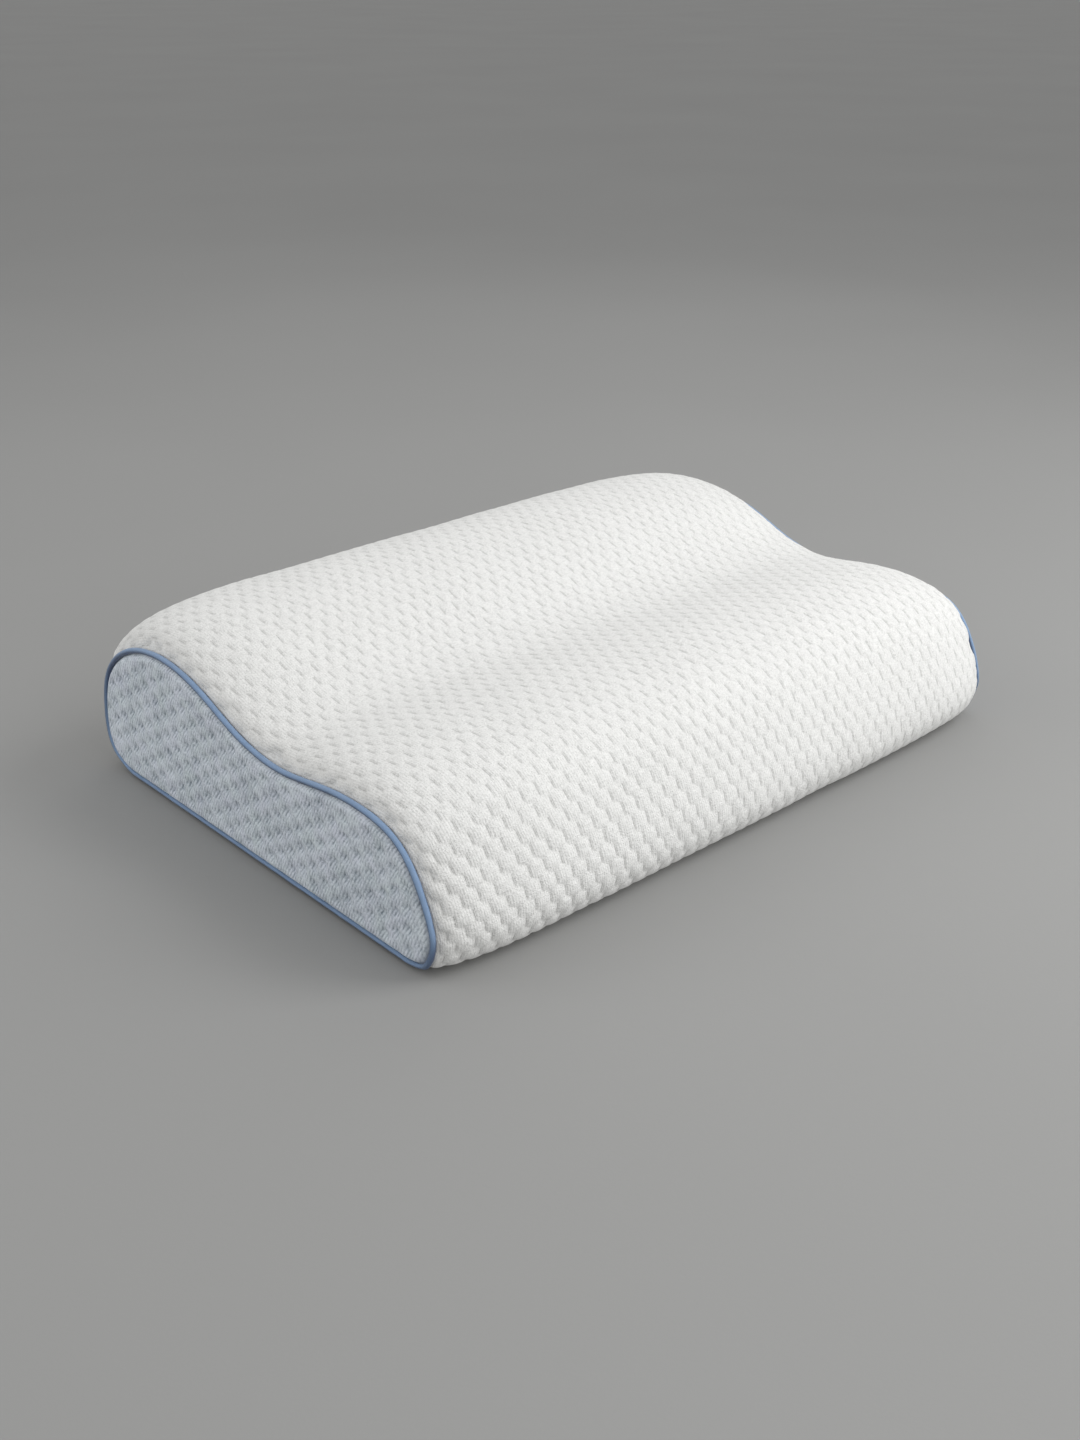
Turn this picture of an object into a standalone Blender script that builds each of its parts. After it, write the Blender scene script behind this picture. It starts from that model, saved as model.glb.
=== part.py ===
"""A contour pillow lying on its base: a filled body in a white knitted cover, with a high and a low
roll and a shallow valley between them, a blue knitted panel on each end, and blue piping in both end
seams. Metres, +Z up. X runs from one end panel to the other, and the low roll faces -Y. The origin is
on the floor, under the middle of the pillow."""

import math

import bmesh
import bpy
import numpy as np

# Driving sizes.
SEAM_SPAN = 0.521  # from the piping of one end to that of the other
PIPING_RADIUS = 0.0022
PIPING_LIFT = 0.0004  # between the floor and the underside of the piping
FIT_GAP = 0.0003  # between pieces that are sewn together
PANEL_THICKNESS = 0.0025
PANEL_RISE = 0.003  # how far the filling pushes an end panel out
PANEL_ROLL = 0.012  # width of the band along its seam in which it rises
HIGH_CROWN = 0.0255  # how far the body swells past its end seams, on the high roll
LOW_CROWN = 0.0230  # the same on the low roll and in the valley
SIDE_CROWN = 0.0165  # the same on the front and back
SOLE_SETTLE = 0.0055  # how far the underside would sink if the floor didn't stop it
VALLEY_SHIFT = 0.058  # half the depth over which the low crown passes into the high one
END_SQUARENESS = 7.2  # power of the curve that rounds the body off towards its ends
END_FULLNESS = {-1: 0.44, 1: 0.50}  # how abruptly it ends; the right end (+X) rolls off more gently
SEAM_FLOOR = PIPING_RADIUS + PIPING_LIFT

# How finely the solids are cut.
POINTS_PER_SPAN = 5
SECTIONS_PER_HALF = 12
PANEL_STEPS = 3

# The end seam from front to back and round underneath, where the floor flattens it. The cover sits
# unevenly, so the right end's seam lies further out in places.
# Columns: place, y, z, how much further out on the right end.
SEAM_KNOTS = (
    ("front foot", -0.1751, 0.0078, 0.0010),
    ("front toe", -0.1819, 0.0228, 0.0015),
    ("front", -0.1806, 0.0357, 0.0020),
    ("front shoulder", -0.1686, 0.0616, 0.0030),
    ("low roll rise", -0.1476, 0.0808, 0.0027),
    ("low roll top", -0.1032, 0.0863, 0.0015),
    ("valley lip", -0.0635, 0.0815, 0.0015),
    ("valley", -0.0327, 0.0785, 0.0042),
    ("slope foot", 0.0080, 0.0849, 0.0065),
    ("slope", 0.0511, 0.1012, 0.0065),
    ("high roll top", 0.0928, 0.1086, 0.0025),
    ("back shoulder", 0.1351, 0.1013, 0.0),
    ("back bend", 0.1687, 0.0776, 0.0),
    ("back", 0.1809, 0.0453, 0.0),
    ("back heel", 0.1780, 0.0170, 0.0),
    ("back sole", 0.1520, SEAM_FLOOR, 0.0),
    ("sole behind", 0.0600, 0.0, 0.0),
    ("sole ahead", -0.0600, 0.0, 0.0),
    ("front sole", -0.1590, SEAM_FLOOR, 0.0),
)

# Columns: name, red, green, blue, roughness.
FINISHES = {
    "body": ("white_knit", 0.84, 0.84, 0.82, 0.9),
    "panel": ("blue_knit", 0.45, 0.51, 0.60, 0.9),
    "piping": ("blue_piping", 0.10, 0.24, 0.45, 0.6),
}


def clear_scene():
    for thing in list(bpy.data.objects):
        bpy.data.objects.remove(thing, do_unlink=True)


def fabric(kind):
    name, red, green, blue, roughness = FINISHES[kind]
    material = bpy.data.materials.new(name)
    material.use_nodes = True
    shader = material.node_tree.nodes["Principled BSDF"]
    shader.inputs["Base Color"].default_value = (red, green, blue, 1.0)
    shader.inputs["Roughness"].default_value = roughness
    shader.inputs["Metallic"].default_value = 0.0
    return material


def closed_spline(knots, per_span):
    """Points and tangents of a smooth closed curve through the knots, of any number of columns."""
    count, columns = knots.shape
    steps = np.sqrt(np.linalg.norm(np.roll(knots, -1, axis=0) - knots, axis=1))
    matrix = np.zeros((count, count))
    right = np.zeros((count, columns))
    for k in range(count):
        before, after = steps[k - 1], steps[k]
        ahead, behind = (k + 1) % count, (k - 1) % count
        matrix[k, behind] += before / 6
        matrix[k, k] += (before + after) / 3
        matrix[k, ahead] += after / 6
        right[k] = (knots[ahead] - knots[k]) / after - (knots[k] - knots[behind]) / before
    bends = np.linalg.solve(matrix, right)
    points, tangents = [], []
    for k in range(count):
        ahead, step = (k + 1) % count, steps[k]
        for part in range(per_span):
            t = part / per_span
            rest = 1 - t
            bend = (rest**3 - rest) * bends[k] + (t**3 - t) * bends[ahead]
            points.append(rest * knots[k] + t * knots[ahead] + bend * step**2 / 6)
            turn = (3 * t**2 - 1) * bends[ahead] - (3 * rest**2 - 1) * bends[k]
            tangents.append((knots[ahead] - knots[k]) / step + turn * step / 6)
    return np.array(points), np.array(tangents)


def smooth_share(value):
    share = min(max(value, 0.0), 1.0)
    return share * share * (3 - 2 * share)


def swollen(seam, normals):
    """The section of the body at its middle: the seam outline, swollen by the filling."""
    section = []
    for (y, z), (out, up) in zip(seam, normals):
        high = smooth_share((y + VALLEY_SHIFT) / (2 * VALLEY_SHIFT))
        top = LOW_CROWN + (HIGH_CROWN - LOW_CROWN) * high
        rise, drop = max(up, 0.0), max(-up, 0.0)
        side = SIDE_CROWN + (top - SIDE_CROWN) * rise**2
        section.append((y + out * side, z + rise * top - drop * SOLE_SETTLE))
    return np.array(section)


def outlines():
    """Each end's seam, by its side of X, their outward normals and the body's middle section."""
    knots = np.array([row[1:] for row in SEAM_KNOTS])
    points, tangents = closed_spline(knots, POINTS_PER_SPAN)
    tangents = tangents[:, :2] / np.linalg.norm(tangents[:, :2], axis=1)[:, None]
    normals = np.stack([-tangents[:, 1], tangents[:, 0]], axis=1)
    left = np.stack([points[:, 0], np.maximum(points[:, 1], SEAM_FLOOR)], axis=1)
    right = left + normals * np.maximum(points[:, 2:], 0.0)
    right[:, 1] = np.maximum(right[:, 1], SEAM_FLOOR)
    middle = swollen(left, normals)
    shift = np.array([(middle[:, 0].min() + middle[:, 0].max()) / 2, 0.0])
    return {-1: left - shift, 1: right - shift}, normals, middle - shift


def end_stations(way):
    """Shares of the way from the middle out to an end, with the share of the crown at each."""
    stations = []
    for k in range(SECTIONS_PER_HALF):
        angle = math.radians(90) * k / SECTIONS_PER_HALF
        along = math.cos(angle) ** (2 / END_SQUARENESS)
        stations.append((along, math.sin(angle) ** (2 * END_FULLNESS[way])))
    return stations


def ring(outline, x):
    """The outline as points at x, none of them under the floor."""
    return [(x, y, max(z, 0.0)) for y, z in outline]


def body_half(seam, middle, end, way):
    """The body's rings from one end's seam in towards the middle."""
    rings = []
    for along, crown in end_stations(way):
        rings.append(ring(seam + (middle - seam) * crown, along * end))
    return rings


def panel_rings(seam, normals, base, way):
    """Rings of a face inside the piping, which rises from its edge to a flat middle, and its centre."""
    centre = (seam.min(axis=0) + seam.max(axis=0)) / 2
    rings = []
    for k in range(PANEL_STEPS + 1):
        angle = math.radians(90) * k / PANEL_STEPS
        inset = PIPING_RADIUS + FIT_GAP + PANEL_ROLL * (1 - math.cos(angle))
        x = base + way * PANEL_RISE * math.sin(angle)
        rings.append(ring(seam - normals * inset, x))
    return rings, (base + way * PANEL_RISE, *centre)


def closed_skin(rings, first_tip, last_tip):
    """A mesh over rings of equal length, closed to a point at each end."""
    shape = bmesh.new()
    loops = [[shape.verts.new(point) for point in points] for points in rings]
    count = len(loops[0])
    for here, there in zip(loops, loops[1:]):
        for k in range(count):
            ahead = (k + 1) % count
            shape.faces.new((here[k], here[ahead], there[ahead], there[k]))
    for loop, tip in ((loops[0], first_tip), (loops[-1], last_tip)):
        point = shape.verts.new(tip)
        for k in range(count):
            shape.faces.new((loop[k], loop[(k + 1) % count], point))
    bmesh.ops.recalc_face_normals(shape, faces=shape.faces)
    return shape


def add_mesh(name, shape, material):
    mesh = bpy.data.meshes.new(name)
    shape.to_mesh(mesh)
    shape.free()
    mesh.shade_smooth()
    mesh.set_sharp_from_angle(angle=math.radians(50))
    mesh.materials.append(material)
    thing = bpy.data.objects.new(name, mesh)
    bpy.context.scene.collection.objects.link(thing)
    return thing


def filled_body(seams, normals, middle, material):
    """The filling in its white cover, closed at each end behind the panel."""
    rings, tips = {}, {}
    for way, seam in seams.items():
        end = way * (SEAM_SPAN / 2 - PIPING_RADIUS - FIT_GAP)
        cap, tips[way] = panel_rings(seam, normals, end, way)
        rings[way] = cap[::-1] + body_half(seam, middle, end, way)
    whole = rings[-1] + [ring(middle, 0.0)] + rings[1][::-1]
    return add_mesh("filled_body", closed_skin(whole, tips[-1], tips[1]), material)


def side_panel(name, seam, normals, way, material):
    """A sheet sewn inside the piping, lying on the body's end."""
    inner = way * (SEAM_SPAN / 2 - PIPING_RADIUS)
    inner_rings, inner_tip = panel_rings(seam, normals, inner, way)
    outer_rings, outer_tip = panel_rings(seam, normals, inner + way * PANEL_THICKNESS, way)
    rings = inner_rings[::-1] + outer_rings
    return add_mesh(name, closed_skin(rings, inner_tip, outer_tip), material)


def piping(name, seam, way, material):
    """A covered cord all the way round an end seam."""
    path = bpy.data.curves.new(name, "CURVE")
    path.dimensions = "3D"
    path.bevel_depth = PIPING_RADIUS
    path.bevel_resolution = 2
    line = path.splines.new("POLY")
    line.points.add(len(seam) - 1)
    for point, (y, z) in zip(line.points, seam):
        point.co = (way * SEAM_SPAN / 2, y, z, 1.0)
    line.use_cyclic_u = True
    path.materials.append(material)
    thing = bpy.data.objects.new(name, path)
    bpy.context.scene.collection.objects.link(thing)
    return thing


def main():
    clear_scene()
    seams, normals, middle = outlines()
    filled_body(seams, normals, middle, fabric("body"))
    panel_cloth, piping_cloth = fabric("panel"), fabric("piping")
    for side, way in (("left", -1), ("right", 1)):
        side_panel(f"side_panel_{side}", seams[way], normals, way, panel_cloth)
        piping(f"piping_{side}", seams[way], way, piping_cloth)


main()
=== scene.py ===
"""The looks of the contour pillow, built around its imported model: a puffed white knit cover, blue knit
end panels and blue piping, on a pale floor under soft light. Metres, +Z up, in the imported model's
frame: X runs from one end panel to the other, and the low roll faces -Y."""

import math

import bpy
import numpy as np
from mathutils import Matrix, Vector
from mathutils.geometry import delaunay_2d_cdt


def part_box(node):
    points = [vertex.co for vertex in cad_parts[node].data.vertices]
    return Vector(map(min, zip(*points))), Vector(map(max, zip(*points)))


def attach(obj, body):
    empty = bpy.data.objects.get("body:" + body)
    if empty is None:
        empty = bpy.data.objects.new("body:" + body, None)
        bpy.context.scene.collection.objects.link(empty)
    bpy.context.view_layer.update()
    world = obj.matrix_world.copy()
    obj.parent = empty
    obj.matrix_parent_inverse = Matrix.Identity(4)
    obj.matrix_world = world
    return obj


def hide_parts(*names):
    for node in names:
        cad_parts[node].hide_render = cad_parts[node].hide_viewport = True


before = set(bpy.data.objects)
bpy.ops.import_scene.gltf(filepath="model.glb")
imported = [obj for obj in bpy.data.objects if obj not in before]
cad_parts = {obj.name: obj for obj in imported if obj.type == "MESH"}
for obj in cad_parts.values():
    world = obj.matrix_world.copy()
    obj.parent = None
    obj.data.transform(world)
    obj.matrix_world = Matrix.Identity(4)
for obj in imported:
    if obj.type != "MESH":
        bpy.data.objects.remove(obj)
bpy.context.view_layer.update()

SIDES = (("left", -1), ("right", 1))
TURN = 2 * math.pi
MILLIMETRE = 0.001
SEED = 11

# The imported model's sizes, as in its source.
FIT_GAP = 0.0003
HIGH_CROWN = 0.0255
LOW_CROWN = 0.0230
SIDE_CROWN = 0.0165
SOLE_SETTLE = 0.0055
VALLEY_SHIFT = 0.058
END_SQUARENESS = 7.2
END_FULLNESS = {-1: 0.44, 1: 0.50}
SEAM_FLOOR = 0.0026  # the lowest that an end seam lies
PANEL_RISE = 0.003
PANEL_THICKNESS = 0.0025
PANEL_ROLL = 0.012
# The end seam from front to back and round underneath: y, z, and how much further out on the right.
SEAM_KNOTS = (
    (-0.1751, 0.0078, 0.0010),
    (-0.1819, 0.0228, 0.0015),
    (-0.1806, 0.0357, 0.0020),
    (-0.1686, 0.0616, 0.0030),
    (-0.1476, 0.0808, 0.0027),
    (-0.1032, 0.0863, 0.0015),
    (-0.0635, 0.0815, 0.0015),
    (-0.0327, 0.0785, 0.0042),
    (0.0080, 0.0849, 0.0065),
    (0.0511, 0.1012, 0.0065),
    (0.0928, 0.1086, 0.0025),
    (0.1351, 0.1013, 0.0),
    (0.1687, 0.0776, 0.0),
    (0.1809, 0.0453, 0.0),
    (0.1780, 0.0170, 0.0),
    (0.1520, SEAM_FLOOR, 0.0),
    (0.0600, 0.0, 0.0),
    (-0.0600, 0.0, 0.0),
    (-0.1590, SEAM_FLOOR, 0.0),
)
SOLE_MIDDLE = 16.5  # the place between knots from which the girth is counted
POINTS_PER_SPAN = 48
END_STEPS = 2000
MEAN_CROWN = 0.020  # stands for the crown where the way over an end is measured
FLOOR_BLUR = 0.8 * MILLIMETRE

# The cover's knit. A puff's place across the pillow and round its girth counts in puffs.
PUFF_ACROSS = 0.01185
PUFF_ROUND = 0.01069
PUFF_FLATNESS = 2.4
PUFF_FULLNESS = 0.8
PUFF_DEPTH = 0.0012
SIDE_SHARES = (1.3, 0.5)  # of that depth on the front and back, at the left end and towards the right
SHARE_CHANGE = (0.02, 0.42)  # where along the cover the one passes into the other
TOP_SHARE = 0.75
PRESSED_SHARE = 0.5  # what is left of the puffs on the underside
PUFF_SPREAD = 0.13  # unevenness of the depth
TOP_TILT = (0.35, 0.85)  # the z of the cover's normal where its sides end and its top begins
SOLE_TILT = (0.5, 0.9)  # the same for the underside, downwards
RIM_FLAT = 0.005  # the way from the rim to whole puffs
GROOVE_LEAN = 0.07  # how far a groove leans sideways over a row, in puffs
GROOVE_JOINING = (0.1, 0.55)  # how far they run on from row to row, on the top and on the sides
GROOVE_STEPS = (0.095, 0.026)  # how sharply the grooves step sideways from row to row
ROW_JOINT = 0.42  # how far two rows' puffs reach into each other
ROW_DIP = 0.22  # how much lower joined puffs are between two rows
LINES_PER_PUFF = 6
LINE_SHIFTS = (0.0, -0.0667, -0.0833, 0.0, 0.0833, 0.0667)  # towards the grooves of even rows
ROW_STATIONS = (0.0, 0.11, 0.35, 0.65, 0.89)
SOLE_STATIONS = (0.0, 0.5)
LATTICE_PHASE = 0.3
RIM_CLEAR = 0.06  # the least gap from the cover's rim to its first grid line, in puffs
RIM_SWING = (0.05, 0.5)  # how far from the rim the lines' swing begins and is whole, in puffs

# The cover's unevenness.
RIM_EVEN = 0.02  # the way from the rim to full unevenness
DRIFT = 0.5 * MILLIMETRE
DRIFT_WAVES = (40, 0.03, 0.12)  # how many, the shortest and the longest
DEPTH_WAVES = (60, 0.012, 0.05)
SAG = 0.25 * MILLIMETRE
SAG_WAVES = (40, 0.05, 0.2)
FOLD_WAVES = (30, 0.014, 0.04)
FOLDS = (1.8 * MILLIMETRE, 0.2 * MILLIMETRE)  # puckers along the seams, on the sides and on the top
FOLD_START = (0.0005, 0.004)
FOLD_LENGTH = 0.010

# The piping.
CORD_RADIUS = 0.00195
CORD_TUCK = 0.0005  # towards the cover
CORD_SQUASH = 0.3  # how much the floor flattens it
SQUASH_TILT = (0.7, 0.95)  # how far down the seam faces where that begins and is whole
CORD_SECTIONS = 720
CORD_SIDES = 20
CORD_SPREAD = 0.02  # unevenness of its thickness
CORD_MOST = 1.05  # at its thickest
CORD_WAVES = (30, 0.012, 0.05)
CORD_LIGHT = (0.35, -0.45, 0.85)  # the way, out of the end and in y and z, from which painted light falls: the flank facing it is painted palest
CORD_SHADE = (0.1, 0.75)  # how far a flank faces that way where its painted shade is darkest and its painted light palest

# The end panels' knit.
PANEL_COLUMN = 0.01165
PANEL_PUFF = 0.0137
PANEL_DEPTH = 0.0030
DIMPLE_NARROWNESS = (1.4, 0.6)  # across and up
PANEL_EDGE = 0.0025  # from the seam to the panel's edge
# How far inside the seam each ring of points lies.
PANEL_INSETS = (0.0015, 0.0024, 0.0032, 0.0042, 0.0054, 0.0068, 0.0084, 0.0102, 0.0122, 0.0142)
PANEL_TUCK = 0.0017  # how far it sinks in beside the piping
TUCK_END = 0.0052  # how far inside the seam that ends
DIMPLE_FREE = (0.003, 0.012)  # how far inside the seam the dimples begin and are whole
PANEL_SAG = 0.0003
PANEL_WAVES = (30, 0.04, 0.15)
PANEL_REPEAT = 0.4  # the height after which its unevenness repeats
PANEL_LEAST = 0.0006  # the sheet at its thinnest
RIM_POINTS = 420
GRID_CLEAR = 0.0009  # the least gap from the innermost ring of points to the grid within
WELD = 1e-7
INSIDE_ONLY = 1
CELLS_PER_COLUMN = 9
CELLS_PER_PUFF = 10

# The pieces of the baked maps, as shares of a page.
COVER_MARGIN = 0.01
COVER_HEIGHT = 0.85
END_PLACES = ((0.27, 0.88), (0.72, 0.88))
PAGE_MARGIN = 0.02
BACK_PLACE = (0.0, 0.35)
EDGE_PLACE = (0.0, 0.66)
EDGE_HEIGHT = 0.004
CORD_STRIPS = 6
STRIP_MARGIN = 0.1  # as a share of a strip

# Colours, in linear light.
WHITE_LIGHT = (0.82, 0.82, 0.805, 1.0)
# The dark colours of the knits are also their painted shade, in the grooves, creases and dimples.
WHITE_DARK = (0.58, 0.58, 0.565, 1.0)
BLUE_LIGHT = (0.69, 0.79, 0.79, 1.0)
LILAC_LIGHT = (0.73, 0.75, 0.88, 1.0)
BLUE_DARK = (0.17, 0.22, 0.27, 1.0)
# The piping's pale colour is its painted light and its dark colour its painted shade, mixed with its
# weave and patches.
PIPING_LIGHT = (0.27, 0.41, 0.63, 1.0)
PIPING_DARK = (0.01, 0.03, 0.10, 1.0)
FLOOR_LIGHT = (0.33, 0.33, 0.325, 1.0)
FLOOR_DARK = (0.30, 0.30, 0.295, 1.0)
WORLD_COLOUR = (0.60, 0.60, 0.60, 1.0)

# The stitches, as repeats for each puff, column or millimetre.
WALES = 7.0
RIBS = 4.4
STROKES = (-4.4, -2.6)  # across and up
WEAVE = 1.6

# How far from their middle the grooves begin to fade and end, in puffs.
ROW_EDGE = (0.02, 0.22)
GROOVE = (0.03, 0.17)
CREASE = (0.01, 0.06)

# Sizes of the noise in the looks, and depths of their bumps.
COARSE_FUZZ = 0.0028
WHITE_FUZZ = 0.0011
BLUE_FUZZ = 0.0013
WHITE_PATCHES = 0.05
BLUE_PATCHES = 0.022
LILAC_PATCHES = 0.013
PIPING_PATCHES = 0.012
FLOOR_PATCHES = 0.6
FLOOR_GRAIN = 0.002
WHITE_BUMP = 0.0005
BLUE_BUMP = 0.0004
PIPING_BUMP = 0.00012
FLOOR_BUMP = 0.00005

FLOOR_REACH = 40.0
FLOOR_DROP = 0.0001
LIGHT_SIZE = 0.9
LIGHT_TARGET = (0.0, 0.0, 0.05)
# Name, place and power.
LIGHTS = (
    ("key", (0.80, -0.90, 1.25), 10.2),
    ("front_right", (1.14, -1.14, 0.66), 4.8),
    ("front", (0.0, -1.62, 0.66), 5.4),
    ("left", (-1.32, 0.70, 0.66), 3.0),
    ("back_left", (-0.95, 0.95, 1.15), 1.9),
    ("back_right", (0.95, 0.95, 1.15), 1.9),
)
CAMERA_AZIMUTH = math.radians(-42.26)
CAMERA_ELEVATION = math.radians(25.36)
CAMERA_TARGET = (-0.00964, 0.00345, 0.02889)
CAMERA_DISTANCE = 1.16814
CAMERA_LENS = 40.25
CAMERA_SENSOR = 36.0
CAMERA_SHIFT = (-0.00159, -0.0114)
CAMERA_REACH = 200.0


def closed_spline(knots, per_span):
    """Points and tangents of a smooth closed curve through the knots, of any number of columns."""
    count = len(knots)
    each = np.arange(count)
    ahead = (each + 1) % count
    steps = np.sqrt(np.linalg.norm(knots[ahead] - knots, axis=1))
    before = np.roll(steps, 1)
    matrix = np.zeros((count, count))
    matrix[each, each - 1] = before / 6
    matrix[each, each] = (before + steps) / 3
    matrix[each, ahead] = steps / 6
    slope = (knots[ahead] - knots) / steps[:, None]
    bends = np.linalg.solve(matrix, slope - np.roll(slope, 1, axis=0))
    t = (np.arange(per_span) / per_span)[None, :, None]
    rest = 1 - t
    here, there, step = bends[:, None], bends[ahead][:, None], steps[:, None, None]
    points = rest * knots[:, None] + t * knots[ahead][:, None]
    points = points + ((rest**3 - rest) * here + (t**3 - t) * there) * step**2 / 6
    tangents = slope[:, None] + ((3 * t**2 - 1) * there - (3 * rest**2 - 1) * here) * step / 6
    return points.reshape(-1, knots.shape[1]), tangents.reshape(-1, knots.shape[1])


def smooth_step(value, low, high):
    """0 up to low, rising smoothly to 1 from high."""
    share = np.clip((value - low) / (high - low), 0.0, 1.0)
    return share * share * (3 - 2 * share)


def on_floor(z):
    """Heights kept above the floor, with a soft bend where they meet it."""
    near = np.clip((z + FLOOR_BLUR) / (2 * FLOOR_BLUR), 0.0, 1.0)
    return np.where(z > FLOOR_BLUR, z, near * near * FLOOR_BLUR)


def swollen(seam, normals):
    """The section of the body at its middle: the seam outline, swollen by the filling."""
    y, z = seam.T
    out, up = normals.T
    high = smooth_step(y, -VALLEY_SHIFT, VALLEY_SHIFT)
    top = LOW_CROWN + (HIGH_CROWN - LOW_CROWN) * high
    rise, drop = np.maximum(up, 0.0), np.maximum(-up, 0.0)
    side = SIDE_CROWN + (top - SIDE_CROWN) * rise**2
    return np.stack([y + out * side, z + rise * top - drop * SOLE_SETTLE], axis=1)


def lengths(points):
    """Distance along a line to each of its points."""
    steps = np.linalg.norm(np.diff(points, axis=0), axis=1)
    return np.concatenate([[0.0], np.cumsum(steps)])


class Girth:
    """The closed outlines of both ends and the middle, by their place round the girth in rows."""

    def __init__(self):
        points, tangents = closed_spline(np.array(SEAM_KNOTS), POINTS_PER_SPAN)
        tangents = tangents[:, :2] / np.linalg.norm(tangents[:, :2], axis=1)[:, None]
        normals = np.stack([-tangents[:, 1], tangents[:, 0]], axis=1)
        left = np.stack([points[:, 0], np.maximum(points[:, 1], SEAM_FLOOR)], axis=1)
        right = left + normals * np.maximum(points[:, 2:], 0.0)
        right[:, 1] = np.maximum(right[:, 1], SEAM_FLOOR)
        middle = swollen(left, normals)
        centre = np.array([(middle[:, 0].min() + middle[:, 0].max()) / 2, 0.0])
        curves = {-1: left - centre, 1: right - centre, "middle": middle - centre}
        start = -int(SOLE_MIDDLE * POINTS_PER_SPAN)
        for name, curve in curves.items():
            turned = np.roll(curve, start, axis=0)
            curves[name] = np.vstack([turned, turned[:1]])
        on_ground = curves["middle"].copy()
        on_ground[:, 1] = on_floor(on_ground[:, 1])
        self.distance = lengths(on_ground)
        self.length = self.distance[-1]
        self.rows = 2 * round(self.length / PUFF_ROUND / 2)
        self.place = self.distance / self.length * self.rows
        self.curves = curves

    def at(self, name, place):
        """Points of an outline at places round the girth, given in rows."""
        curve = self.curves[name]
        place = np.mod(place, self.rows)
        return np.stack([np.interp(place, self.place, curve[:, k]) for k in range(2)], axis=-1)

    def seam(self, way, count):
        """Evenly spaced points of an end seam, their outward normals and the seam's length."""
        curve = self.curves[way]
        run = lengths(curve)
        along = np.arange(count) / count * run[-1]
        points = np.stack([np.interp(along, run, curve[:, k]) for k in range(2)], axis=1)
        tangents = np.roll(points, -1, axis=0) - np.roll(points, 1, axis=0)
        tangents /= np.linalg.norm(tangents, axis=1)[:, None]
        return points, np.stack([-tangents[:, 1], tangents[:, 0]], axis=1), run[-1]


def end_x(way):
    """Where the filled body ends, just inside the piping."""
    low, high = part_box("piping_left" if way < 0 else "piping_right")
    radius = (high.x - low.x) / 2
    return (low.x + high.x) / 2 - way * (radius + FIT_GAP)


class Span:
    """The way across the cover from one end seam to the other, by distance along the cloth."""

    def __init__(self):
        angles = np.linspace(0.0, math.pi / 2, END_STEPS)
        pieces = []
        for way in (-1, 1):
            x = end_x(way) * np.cos(angles) ** (2 / END_SQUARENESS)
            crown = np.sin(angles) ** (2 * END_FULLNESS[way])
            pieces.append(np.stack([x, crown], axis=1)[::-way])
        self.path = np.vstack([pieces[0], pieces[1][1:]])
        self.distance = lengths(self.path * np.array([1.0, MEAN_CROWN]))
        self.length = self.distance[-1]

    def at(self, distance):
        """x and the share of the crown at distances from the left seam."""
        return [np.interp(distance, self.distance, self.path[:, k]) for k in range(2)]


def waves(rng, across, around, whole, kind, length):
    """Smooth random unevenness with a spread of 1, over distance across and place around. It closes
    on itself where the place reaches the whole way round, which has the length. The kind gives the
    number of its waves and the lengths of the shortest and the longest."""
    count, shortest, longest = kind
    total = np.zeros(np.broadcast(across, around).shape)
    for _ in range(count):
        size = math.exp(rng.uniform(math.log(shortest), math.log(longest)))
        heading = rng.uniform(0.0, TURN)
        laps = round(length / size * math.sin(heading))
        phase = across / size * math.cos(heading) + around / whole * laps
        total += np.cos(TURN * phase + rng.uniform(0.0, TURN))
    return total / math.sqrt(count / 2)


def puff_profile(across, width=1.0):
    """The height across a row of puffs, 1 on a puff and 0 in the groove beside it."""
    off = np.abs(2 * (across - np.floor(across)) - 1) / width
    return (1 - np.minimum(off, 1.0) ** PUFF_FLATNESS) ** PUFF_FULLNESS


def puffs(across, around, joining):
    """The height of the puffed knit, 0 in its grooves to 1. Each row is half a puff further along.
    The grooves lean, and are faintly joined from row to row, as steps of slanting ridges."""
    row = np.floor(around)
    off = around - row - 0.5
    row_edge = np.abs(2 * off) ** 4
    leaning = across + 0.5 * row + GROOVE_LEAN * off
    here, beside = puff_profile(leaning), puff_profile(leaning + 0.5)
    apart = here * (1 - row_edge) + row_edge * ROW_JOINT * (here + beside)
    once, twice = GROOVE_STEPS
    turn = TURN * around
    stepped = across + 0.5 * (around - 0.5) + once * np.sin(turn) + twice * np.sin(2 * turn)
    joined = puff_profile(stepped, 1 - ROW_JOINT * row_edge) * (1 - ROW_DIP * row_edge)
    return apart + joining * (joined - apart)


def grid_normals(points):
    """Outward unit normals of a grid that closes on itself down its first axis."""
    around = np.roll(points, -1, axis=0) - np.roll(points, 1, axis=0)
    across = np.gradient(points, axis=1)
    normals = np.cross(across, around)
    return normals / np.linalg.norm(normals, axis=2)[..., None]


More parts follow.
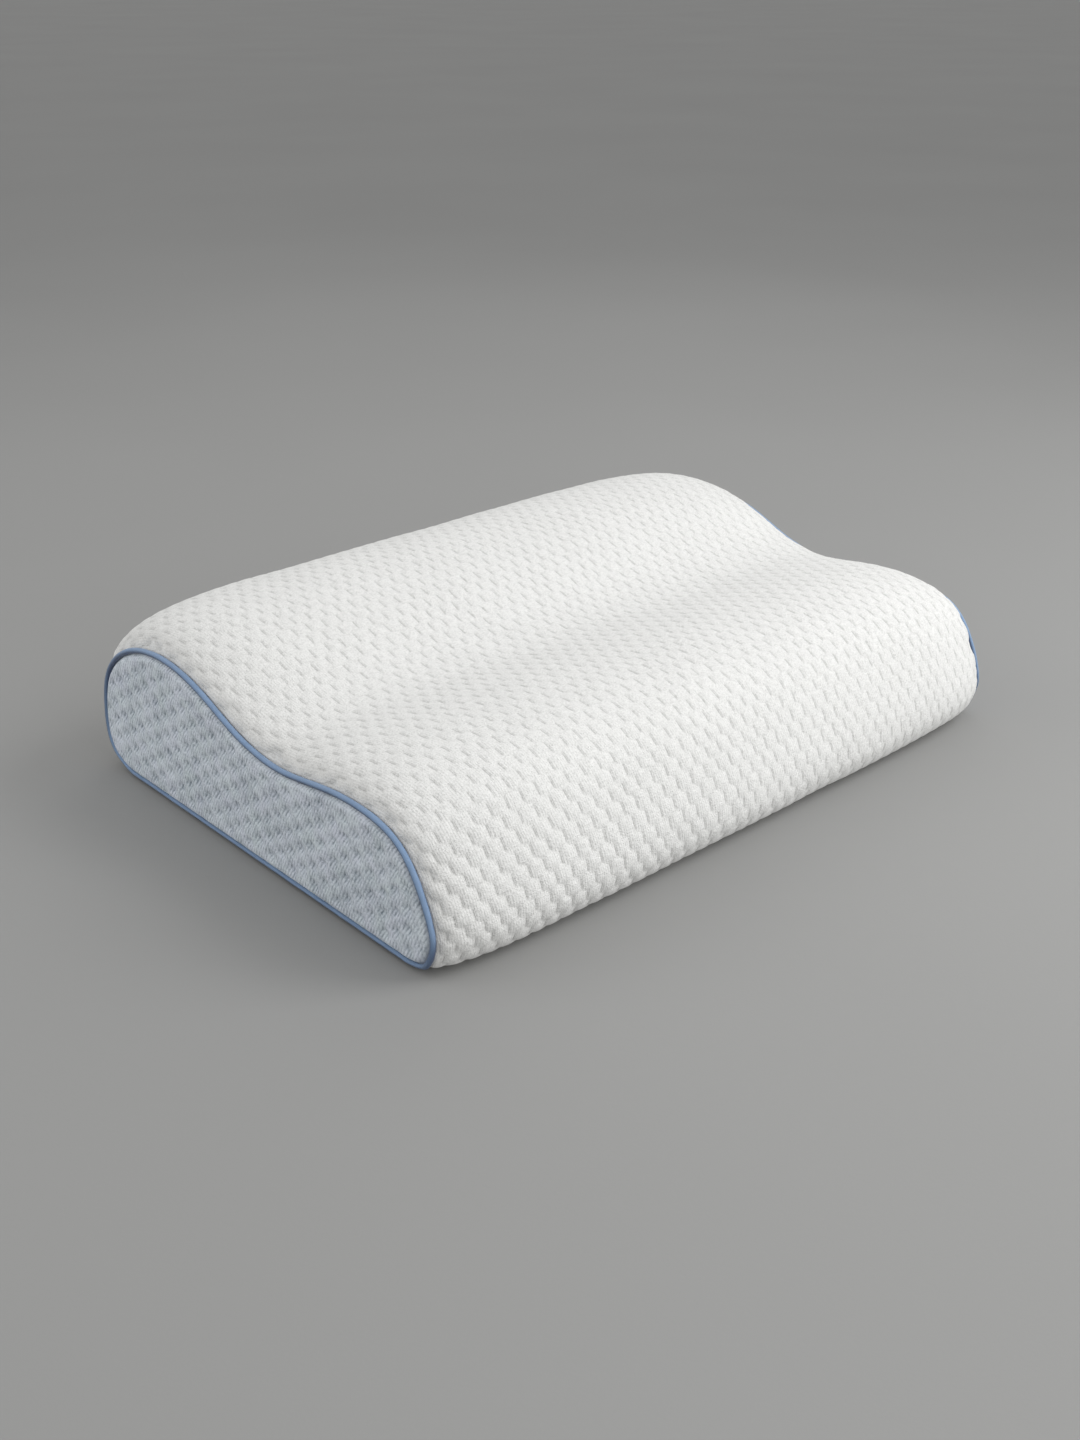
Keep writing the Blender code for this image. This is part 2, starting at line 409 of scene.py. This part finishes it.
def cover_lines(girth, span):
    """Where the cover's grid lines cross: places across and around, both in puffs. The lines across
    swing from row to row, so that they crowd at each row's grooves."""
    wide = span.length / PUFF_ACROSS
    numbers = np.arange(math.ceil(LINES_PER_PUFF * (LATTICE_PHASE + wide)))
    across = numbers / LINES_PER_PUFF - LATTICE_PHASE
    inner = (across > RIM_CLEAR) & (across < wide - RIM_CLEAR)
    across = np.concatenate([[0.0], across[inner], [wide]])
    numbers = np.concatenate([[0], numbers[inner], [0]]) % LINES_PER_PUFF
    around = []
    for row in range(girth.rows):
        heights = girth.at("middle", np.array([row, row + 1.0]))[:, 1]
        stations = SOLE_STATIONS if heights.max() < -MILLIMETRE else ROW_STATIONS
        around += [row + station for station in stations]
    around = np.array(around)[:, None]
    even = np.array(LINE_SHIFTS)[numbers]
    odd = np.array(LINE_SHIFTS)[(numbers + LINES_PER_PUFF // 2) % LINES_PER_PUFF]
    row = np.floor(around)
    lean = 0.5 - 0.5 * np.abs(2 * (around - row) - 1) ** 3
    share = np.where(np.mod(row, 2) == 0, 0.5 + lean, 0.5 - lean)
    near = np.minimum(across, wide - across)
    shift = (share * even + (1 - share) * odd) * smooth_step(near, *RIM_SWING)
    return across + shift, np.broadcast_to(around, shift.shape)


def cover_surface(girth, span, across, around):
    """Points of the plain cover at places across and around, both in puffs."""
    x, crown = span.at(across * PUFF_ACROSS)
    left, right, middle = (girth.at(name, around) for name in (-1, 1, "middle"))
    seam = np.where((x < 0)[..., None], left, right)
    section = seam + (middle - seam) * crown[..., None]
    return np.stack([x, section[..., 0], on_floor(section[..., 1])], axis=-1)


def face_corners(values):
    """The values at the four corners of each cell of a grid."""
    return np.stack([values[:-1, :-1], values[:-1, 1:], values[1:, 1:], values[1:, :-1]], axis=2)


def make_mesh(name, points, faces, uv_maps, relief_and_shade):
    """A smooth mesh object, with a UV for each face corner by map name, and a point attribute from which
    the materials paint shade and light.
    """
    mesh = bpy.data.meshes.new(name)
    mesh.from_pydata(points.tolist(), [], faces)
    for map_name, corners in uv_maps.items():
        layer = mesh.uv_layers.new(name=map_name)
        layer.data.foreach_set("uv", np.asarray(corners, np.float32).ravel())
    attribute = mesh.attributes.new("relief_and_shade", "FLOAT", "POINT")
    attribute.data.foreach_set("value", np.asarray(relief_and_shade, np.float32))
    mesh.shade_smooth()
    mesh.update()
    thing = bpy.data.objects.new(name, mesh)
    bpy.context.scene.collection.objects.link(thing)
    return thing


def knit_points(girth, span, rng, a, b):
    """Points of the puffed cover at places across and around, and the puffs' height there, which the
    white knit also paints as shade in its grooves.
    """
    distance = a * PUFF_ACROSS

    def rough(kind):
        return waves(rng, distance, b, girth.rows, kind, girth.length)

    near = np.minimum(distance, span.length - distance)
    free = smooth_step(near, 0.0, RIM_EVEN)
    drift_across = DRIFT * rough(DRIFT_WAVES) * free / PUFF_ACROSS
    drift_around = DRIFT * rough(DRIFT_WAVES) * free / PUFF_ROUND
    plain = cover_surface(girth, span, a + drift_across, b + drift_around)
    normals = grid_normals(plain)
    lying = smooth_step(normals[..., 2], *TOP_TILT)
    pressed = 1 - (1 - PRESSED_SHARE) * smooth_step(-normals[..., 2], *SOLE_TILT)

    on_top, on_side = GROOVE_JOINING
    relief_and_shade = puffs(a + LATTICE_PHASE, b, on_side + (on_top - on_side) * lying)
    first, last = SIDE_SHARES
    share = first + (last - first) * smooth_step(distance, *SHARE_CHANGE)
    share += (TOP_SHARE - share) * lying
    depth = PUFF_DEPTH * smooth_step(near, 0.0, RIM_FLAT) * pressed * share
    depth *= 1 + PUFF_SPREAD * rough(DEPTH_WAVES)
    sink = depth * (1 - relief_and_shade)
    sink += SAG * np.maximum(rough(SAG_WAVES), -1) * free
    beside, above = FOLDS
    for gap in (distance, span.length - distance):
        fold = waves(rng, 0 * b, b, girth.rows, FOLD_WAVES, girth.length)
        reach = smooth_step(gap, *FOLD_START) * np.exp(-gap / FOLD_LENGTH)
        sink += (beside + (above - beside) * lying) * np.maximum(fold, 0) * reach * pressed
    points = plain - normals * sink[..., None]
    points[..., 2] = np.maximum(points[..., 2], 0.0)
    return points, relief_and_shade


def knit_cover(girth, span, rng):
    """The white cover, closed at both ends behind the panels."""
    a, b = cover_lines(girth, span)
    rows, columns = a.shape
    points, relief_and_shade = knit_points(girth, span, rng, a, b)
    numbers = np.arange(rows * columns).reshape(rows, columns)
    faces = face_corners(np.vstack([numbers, numbers[:1]])).reshape(-1, 4).tolist()

    # Its baked map is one sheet below and the two ends side by side above it.
    wide, round_it = np.vstack([a, a[:1]]), np.vstack([b, b[:1] + girth.rows])
    knit = np.stack([wide + LATTICE_PHASE, round_it], axis=-1)
    page = (1 - 2 * COVER_MARGIN) * wide / wide.max(), COVER_HEIGHT * round_it / girth.rows
    baked = COVER_MARGIN + np.stack(page, axis=-1)
    knit_corners = [face_corners(knit).reshape(-1, 2)]
    baked_corners = [face_corners(baked).reshape(-1, 2)]
    tips = [points[:, column].mean(axis=0) for column in (0, -1)]
    cloud = np.vstack([points.reshape(-1, 3), *tips])
    for column, tip, place in zip((0, -1), (-2, -1), END_PLACES):
        rim = numbers[:, column]
        ends = np.stack([rim, np.roll(rim, -1), np.full(rows, len(cloud) + tip)], axis=1)
        if column:
            ends = ends[:, [1, 0, 2]]
        faces += ends.tolist()
        flat = cloud[ends.ravel()][:, 1:]
        knit_corners.append(flat / PUFF_ACROSS)
        baked_corners.append(flat + np.array(place))
    uv_maps = {"knit": np.vstack(knit_corners), "OFBake": np.vstack(baked_corners)}
    return make_mesh("knit_cover", cloud, faces, uv_maps, np.append(relief_and_shade, [1.0, 1.0]))


def piping_ring(name, way, girth, rng):
    """A covered cord all the way round an end seam."""
    low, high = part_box(name)
    x = (high.x + low.x) / 2 - way * CORD_TUCK
    seam, normals, length = girth.seam(way, CORD_SECTIONS)
    angles = np.arange(CORD_SIDES) / CORD_SIDES * TURN
    turn = np.arange(CORD_SECTIONS)[:, None] / CORD_SECTIONS
    uneven = 1 + CORD_SPREAD * waves(rng, angles[None] * CORD_RADIUS, turn, 1, CORD_WAVES, length)
    size = CORD_RADIUS * np.minimum(uneven, CORD_MOST)
    flattened = 1 - CORD_SQUASH * smooth_step(-normals[:, 1:], *SQUASH_TILT)
    up = size * flattened * np.sin(angles)[None]
    sunk = seam - normals * CORD_RADIUS * (1 - flattened)
    points = np.stack(
        [
            x + size * np.cos(angles)[None] * way,
            sunk[:, :1] + up * normals[:, :1],
            sunk[:, 1:] + up * normals[:, 1:],
        ],
        axis=-1,
    )
    points[..., 2] = np.maximum(points[..., 2], 0.0)

    def corners(values):
        return face_corners(values)[:, :, ::-way].reshape(-1, 4, values.shape[-1])

    numbers = np.arange(CORD_SECTIONS * CORD_SIDES).reshape(CORD_SECTIONS, CORD_SIDES)
    closed = np.pad(numbers, ((0, 1), (0, 1)), mode="wrap")
    quads = corners(closed[..., None])[..., 0]
    u = np.arange(CORD_SIDES + 1)[None] / CORD_SIDES
    v = np.arange(CORD_SECTIONS + 1)[:, None] / CORD_SECTIONS
    u, v = np.broadcast_arrays(u, v)
    knit = corners(np.stack([u * TURN * CORD_RADIUS, v * length], axis=-1)) / MILLIMETRE

    # Its baked map is cut into strips, one above the other.
    strip = np.floor(np.arange(CORD_SECTIONS) / CORD_SECTIONS * CORD_STRIPS)
    strip = np.repeat(strip, CORD_SIDES)[:, None]
    place = corners(np.stack([u, v], axis=-1))
    within = place[..., 1] * CORD_STRIPS - strip
    along = PAGE_MARGIN + (1 - 2 * PAGE_MARGIN) * within
    across = (strip + STRIP_MARGIN + (1 - 2 * STRIP_MARGIN) * place[..., 0]) / CORD_STRIPS
    uv_maps = {"knit": knit, "OFBake": np.stack([along, across], axis=-1)}

    # Painted light and shade: how far each flank faces CORD_LIGHT, kept as a point attribute.
    out, *upright = CORD_LIGHT
    facing = out * np.cos(angles)[None] + (normals @ upright)[:, None] * np.sin(angles)[None]
    relief_and_shade = smooth_step(facing, *CORD_SHADE).ravel()
    return make_mesh(f"{name}_cord", points.reshape(-1, 3), quads.tolist(), uv_maps, relief_and_shade)


def dimples(column, height):
    """The height of the end panels' knit, 1 between its dimples and 0 in them. Columns count across,
    and puffs up, and the dimples of alternate columns are half a puff higher."""
    wide, tall = DIMPLE_NARROWNESS

    def bumps(across, up):
        return np.exp(wide * (np.cos(math.pi * across) - 1) + tall * (np.cos(TURN * up) - 1))

    return 1 - np.minimum(bumps(column, height) + bumps(column - 1, height - 0.5), 1.0)


def panel_rise(inset):
    """How far an end panel stands out at a distance inside the seam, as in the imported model."""
    share = np.clip((inset - PANEL_EDGE) / PANEL_ROLL, 0.0, 1.0)
    return PANEL_RISE * np.sqrt(share * (2 - share))


def panel_layout(seam, outward):
    """Flat points of a panel, rings inside the seam and a grid within them, and their insets."""
    rings = [seam - outward * inset for inset in PANEL_INSETS]
    insets = [np.full(len(seam), inset) for inset in PANEL_INSETS]
    low, high = seam.min(axis=0), seam.max(axis=0)
    ys = np.arange(low[0], high[0], PANEL_COLUMN / CELLS_PER_COLUMN)
    zs = np.arange(low[1], high[1], PANEL_PUFF / CELLS_PER_PUFF)
    grid = np.stack(np.meshgrid(ys, zs), axis=-1).reshape(-1, 2)
    gaps = np.full(len(grid), np.inf)
    inside = np.zeros(len(grid), bool)
    for (y0, z0), (y1, z1) in zip(seam, np.roll(seam, -1, axis=0)):
        gaps = np.minimum(gaps, np.hypot(grid[:, 0] - y0, grid[:, 1] - z0))
        crosses = (z0 > grid[:, 1]) != (z1 > grid[:, 1])
        if z0 != z1:
            inside ^= crosses & (grid[:, 0] < (y1 - y0) * (grid[:, 1] - z0) / (z1 - z0) + y0)
    kept = inside & (gaps > PANEL_INSETS[-1] + GRID_CLEAR)
    return np.vstack([*rings, grid[kept]]), np.concatenate([*insets, gaps[kept]])


def panel_triangles(flat, way):
    """Triangles over a panel's flat points, turned outwards."""
    vectors = [Vector(point) for point in flat.tolist()]
    found, _, triangles, *_ = delaunay_2d_cdt(vectors, [], [list(range(RIM_POINTS))], INSIDE_ONLY, WELD)
    assert len(found) == len(flat)
    triangles = np.array(triangles)
    first, second, third = (flat[triangles[:, k]] for k in range(3))
    cross = (second[:, 0] - first[:, 0]) * (third[:, 1] - first[:, 1])
    cross -= (second[:, 1] - first[:, 1]) * (third[:, 0] - first[:, 0])
    return np.where((cross * way > 0)[:, None], triangles, triangles[:, ::-1])


def panel_sheet(name, way, girth, rng):
    """A knitted end panel, tucked in beside the piping all round and dimpled between. Returns it with
    its flat area and size."""
    seam, outward, _ = girth.seam(way, RIM_POINTS)
    flat, inset = panel_layout(seam, outward)
    triangles = panel_triangles(flat, way)
    total = len(flat)
    knit = flat / np.array([PANEL_COLUMN, PANEL_PUFF])
    # The dimples' height, which the blue knit also paints as shade.
    relief_and_shade = dimples(knit[:, 0], knit[:, 1])
    sag = waves(rng, flat[:, 0], flat[:, 1], PANEL_REPEAT, PANEL_WAVES, PANEL_REPEAT)
    tuck = PANEL_TUCK * (1 - smooth_step(inset, PANEL_INSETS[0], TUCK_END))
    out = PANEL_THICKNESS + panel_rise(inset) - tuck
    sink = PANEL_DEPTH * (1 - relief_and_shade) + PANEL_SAG * np.maximum(sag, -1)
    out -= smooth_step(inset, *DIMPLE_FREE) * sink
    base = end_x(way) + way * FIT_GAP
    front = np.column_stack([base + way * out, flat])
    back = np.column_stack([base + way * np.minimum(panel_rise(inset), out - PANEL_LEAST), flat])
    edge = np.arange(RIM_POINTS)
    after = np.roll(edge, -1)
    rim = np.stack([edge, edge + total, after + total, after], axis=1)[:, ::-way]
    reverse = triangles[:, ::-1] + total
    faces = triangles.tolist() + reverse.tolist() + rim.tolist()

    # Its baked map has the front, the back above it, and the thin rim above both.
    corners = np.concatenate([triangles.ravel(), reverse.ravel()])
    spot = (flat - seam.min(axis=0)) / np.ptp(seam[:, 0]) * (1 - 2 * PAGE_MARGIN) + PAGE_MARGIN
    pages = np.vstack([spot, spot + np.array(BACK_PLACE)])
    thin = spot[rim.ravel() % total] + np.array(EDGE_PLACE)
    thin[:, 1] += EDGE_HEIGHT * (rim.ravel() >= total)
    baked = np.vstack([pages[corners], thin])
    every = np.concatenate([corners, rim.ravel()])
    uv_maps = {"knit": np.vstack([knit, knit])[every], "OFBake": baked}
    cloud, relief_and_shade = np.vstack([front, back]), np.concatenate([relief_and_shade, relief_and_shade])
    sheet = make_mesh(f"{name}_sheet", cloud, faces, uv_maps, relief_and_shade)
    outline = flat[:RIM_POINTS]
    (ys, zs), (next_ys, next_zs) = outline.T, np.roll(outline, -1, axis=0).T
    area = abs((ys * next_zs - zs * next_ys).sum()) / 2
    return sheet, area, np.ptp(outline, axis=0)


class Nodes:
    """A procedural material: its Principled shader and what feeds it."""

    def __init__(self, name, **constants):
        self.material = bpy.data.materials.new(name)
        self.material.use_nodes = True
        self.tree = self.material.node_tree
        self.shader = self.tree.nodes["Principled BSDF"]
        for socket, value in constants.items():
            self.shader.inputs[socket.replace("_", " ")].default_value = value

    def join(self, value, socket):
        if isinstance(value, bpy.types.NodeSocket):
            self.tree.links.new(value, socket)
        else:
            socket.default_value = value

    def math(self, operation, *values):
        node = self.tree.nodes.new("ShaderNodeMath")
        node.operation = operation
        for value, socket in zip(values, node.inputs):
            self.join(value, socket)
        return node.outputs[0]

    def total(self, start, *parts):
        """The start plus each part's weight times its value."""
        for weight, value in parts:
            start = self.math("MULTIPLY_ADD", value, weight, start)
        return start

    def noise(self, size, detail=2.0):
        """Noise of a size in metres."""
        node = self.tree.nodes.new("ShaderNodeTexNoise")
        node.inputs["Scale"].default_value = 1 / size
        node.inputs["Detail"].default_value = detail
        where = self.tree.nodes.new("ShaderNodeTexCoord").outputs["Object"]
        self.tree.links.new(where, node.inputs["Vector"])
        return node.outputs[0]

    def place(self):
        """The knit's own coordinates."""
        node = self.tree.nodes.new("ShaderNodeUVMap")
        node.uv_map = "knit"
        parts = self.tree.nodes.new("ShaderNodeSeparateXYZ")
        self.tree.links.new(node.outputs[0], parts.inputs[0])
        return parts.outputs[0], parts.outputs[1]

    def relief_and_shade(self):
        # The point attribute from which the materials paint shade and light.
        node = self.tree.nodes.new("ShaderNodeAttribute")
        node.attribute_name = "relief_and_shade"
        return node.outputs["Fac"]

    def off_whole(self, value):
        """The distance to the nearest whole number."""
        return self.math("PINGPONG", value, 0.5)

    def fade(self, value, low, high):
        """1 below low, falling smoothly to 0 above high."""
        node = self.tree.nodes.new("ShaderNodeMapRange")
        node.interpolation_type = "SMOOTHSTEP"
        self.join(value, node.inputs["Value"])
        for socket, number in (("From Min", low), ("From Max", high), ("To Min", 1.0), ("To Max", 0.0)):
            node.inputs[socket].default_value = number
        return node.outputs[0]

    def ridges(self, value):
        """Rounded ridges with sharp valleys, one for each unit of value."""
        return self.math("ABSOLUTE", self.math("SINE", self.math("MULTIPLY", value, math.pi)))

    def blend(self, share, dark, light):
        node = self.tree.nodes.new("ShaderNodeMix")
        node.data_type = "RGBA"
        self.join(share, node.inputs["Factor"])
        self.join(dark, node.inputs["A"])
        self.join(light, node.inputs["B"])
        return node.outputs["Result"]

    def finish(self, colour, height, depth, roughness):
        bump = self.tree.nodes.new("ShaderNodeBump")
        bump.inputs["Distance"].default_value = depth
        self.join(height, bump.inputs["Height"])
        self.join(bump.outputs[0], self.shader.inputs["Normal"])
        self.join(colour, self.shader.inputs["Base Color"])
        self.join(roughness, self.shader.inputs["Roughness"])
        return self.material


def white_knit():
    """Matt white knit: fine wales of stitches, fuzz, and a crease down the middle of each groove; the
    grooves and the creases are painted darker as shade.
    """
    nodes = Nodes("white_knit_cloth", Sheen_Weight=0.15, Sheen_Roughness=0.5, Specular_IOR_Level=0.25)
    across, around = nodes.place()
    row = nodes.math("FLOOR", around)
    off = nodes.math("SUBTRACT", nodes.math("SUBTRACT", around, row), 0.5)
    leaning = nodes.total(across, (0.5, row), (GROOVE_LEAN, off))
    in_row = nodes.math("SUBTRACT", 1.0, nodes.fade(nodes.off_whole(around), *ROW_EDGE))
    off_groove = nodes.off_whole(leaning)
    groove = nodes.math("MULTIPLY", nodes.fade(off_groove, *GROOVE), in_row)
    crease = nodes.math("MULTIPLY", nodes.fade(off_groove, *CREASE), in_row)
    wales = nodes.ridges(nodes.total(0.5, (WALES, leaning)))
    slant = nodes.ridges(nodes.total(0.0, (WALES, around), (0.45, wales)))
    stitches = nodes.math("MULTIPLY", wales, nodes.total(0.55, (0.45, slant)))
    ladder = nodes.math("MULTIPLY", wales, groove)
    fuzz = nodes.total(nodes.noise(WHITE_FUZZ, 1.0), (0.6, nodes.noise(COARSE_FUZZ)))
    height = nodes.total(fuzz, (0.28, stitches), (0.4, ladder), (-0.3, groove), (-0.8, crease))
    patchy = nodes.noise(WHITE_PATCHES)
    # Painted shade: the low parts of the puffs and the creases darken the colour.
    share = nodes.total(-0.55, (1.4, fuzz), (0.15, nodes.relief_and_shade()), (-0.5, crease), (0.16, patchy))
    colour = nodes.blend(share, WHITE_DARK, WHITE_LIGHT)
    return nodes.finish(colour, height, WHITE_BUMP, nodes.total(0.97, (-0.08, fuzz)))


def blue_knit():
    """Matt pale blue knit, bluer or more lilac in patches, with slanting strokes over its dimples, which
    are painted darker as shade.
    """
    nodes = Nodes("blue_knit_cloth", Sheen_Weight=0.2, Sheen_Roughness=0.5, Specular_IOR_Level=0.25)
    across, up = nodes.place()
    relief_and_shade = nodes.relief_and_shade()
    low = nodes.math("SUBTRACT", 1.0, relief_and_shade)
    strokes = nodes.ridges(nodes.total(0.0, (STROKES[0], across), (STROKES[1], up)))
    ribs = nodes.ridges(nodes.math("MULTIPLY", across, RIBS))
    fuzz = nodes.math("ADD", nodes.noise(BLUE_FUZZ, 1.0), nodes.noise(COARSE_FUZZ))
    height = nodes.total(fuzz, (nodes.total(0.35, (0.6, low)), strokes), (0.4, ribs))
    patchy = nodes.noise(BLUE_PATCHES, 3.0)
    # Painted shade: the dimples darken the colour.
    share = nodes.total(-1.05, (nodes.total(0.2, (0.3, low)), strokes), (0.45, relief_and_shade), (0.2, ribs))
    share = nodes.total(share, (0.85, fuzz), (0.8, patchy))
    light = nodes.blend(nodes.noise(LILAC_PATCHES), BLUE_LIGHT, LILAC_LIGHT)
    colour = nodes.blend(share, BLUE_DARK, light)
    return nodes.finish(colour, height, BLUE_BUMP, nodes.total(0.95, (-0.1, fuzz)))


def blue_piping():
    """Blue satin in a fine diagonal weave, with painted shade on the flanks that face away from a set
    way and painted light on those that face it.
    """
    nodes = Nodes("blue_piping_cloth", Sheen_Weight=0.25, Sheen_Roughness=0.3, Specular_IOR_Level=0.6)
    around, along = nodes.place()
    first = nodes.ridges(nodes.math("MULTIPLY", nodes.math("ADD", around, along), WEAVE))
    second = nodes.ridges(nodes.math("MULTIPLY", nodes.math("SUBTRACT", around, along), WEAVE))
    weave = nodes.math("MULTIPLY", first, second)
    patchy = nodes.noise(PIPING_PATCHES)
    # Painted light and shade: how far each flank faces the set way sets most of the colour.
    share = nodes.total(0.0, (0.15, weave), (0.2, patchy), (0.7, nodes.relief_and_shade()))
    colour = nodes.blend(share, PIPING_DARK, PIPING_LIGHT)
    return nodes.finish(colour, weave, PIPING_BUMP, nodes.total(0.45, (-0.1, weave)))


def soft_light(name, place, power):
    lamp = bpy.data.lights.new(name, "AREA")
    lamp.shape = "RECTANGLE"
    lamp.size = lamp.size_y = LIGHT_SIZE
    lamp.energy = power
    thing = bpy.data.objects.new(name, lamp)
    thing.location = place
    direction = Vector(LIGHT_TARGET) - thing.location
    thing.rotation_euler = direction.to_track_quat("-Z", "Y").to_euler()
    bpy.context.scene.collection.objects.link(thing)


def studio():
    scene = bpy.context.scene
    scene.view_settings.view_transform = "Standard"
    mesh = bpy.data.meshes.new("floor")
    corners = [(x * FLOOR_REACH, y * FLOOR_REACH, 0) for x, y in ((-1, -1), (1, -1), (1, 1), (-1, 1))]
    mesh.from_pydata(corners, [], [(0, 1, 2, 3)])
    floor = bpy.data.objects.new("floor", mesh)
    floor.location.z = -FLOOR_DROP
    scene.collection.objects.link(floor)
    nodes = Nodes("floor_paint", Specular_IOR_Level=0.2)
    tone = nodes.blend(nodes.noise(FLOOR_PATCHES), FLOOR_DARK, FLOOR_LIGHT)
    floor.data.materials.append(nodes.finish(tone, nodes.noise(FLOOR_GRAIN), FLOOR_BUMP, 0.8))
    world = bpy.data.worlds.new("studio")
    world.use_nodes = True
    world.node_tree.nodes["Background"].inputs["Color"].default_value = WORLD_COLOUR
    scene.world = world
    for name, place, power in LIGHTS:
        soft_light(name, place, power)


def camera():
    """The camera at the photograph's viewing angle."""
    flat = math.cos(CAMERA_ELEVATION)
    back = Vector(
        (
            math.sin(CAMERA_AZIMUTH) * flat,
            -math.cos(CAMERA_AZIMUTH) * flat,
            math.sin(CAMERA_ELEVATION),
        )
    )
    right = Vector((0.0, 0.0, 1.0)).cross(back).normalized()
    turn = Matrix((right, back.cross(right), back)).transposed().to_4x4()
    lens = bpy.data.cameras.new("camera")
    lens.lens = CAMERA_LENS
    lens.sensor_width = CAMERA_SENSOR
    lens.sensor_fit = "AUTO"
    lens.shift_x, lens.shift_y = CAMERA_SHIFT
    lens.clip_end = CAMERA_REACH
    thing = bpy.data.objects.new("camera", lens)
    thing.matrix_world = Matrix.Translation(Vector(CAMERA_TARGET) + back * CAMERA_DISTANCE) @ turn
    bpy.context.scene.collection.objects.link(thing)
    bpy.context.scene.camera = thing


def dress(piece, node, material):
    piece.data.materials.append(material)
    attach(piece, "root")
    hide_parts(node)


def main():
    camera()
    studio()
    rng = np.random.default_rng(SEED)
    girth, span = Girth(), Span()
    cover = knit_cover(girth, span, rng)
    dress(cover, "filled_body", white_knit())
    panel_cloth, piping_cloth = blue_knit(), blue_piping()
    for side, way in SIDES:
        node = f"side_panel_{side}"
        panel, area, size = panel_sheet(node, way, girth, rng)
        dress(panel, node, panel_cloth)
        node = f"piping_{side}"
        dress(piping_ring(node, way, girth, rng), node, piping_cloth)


main()
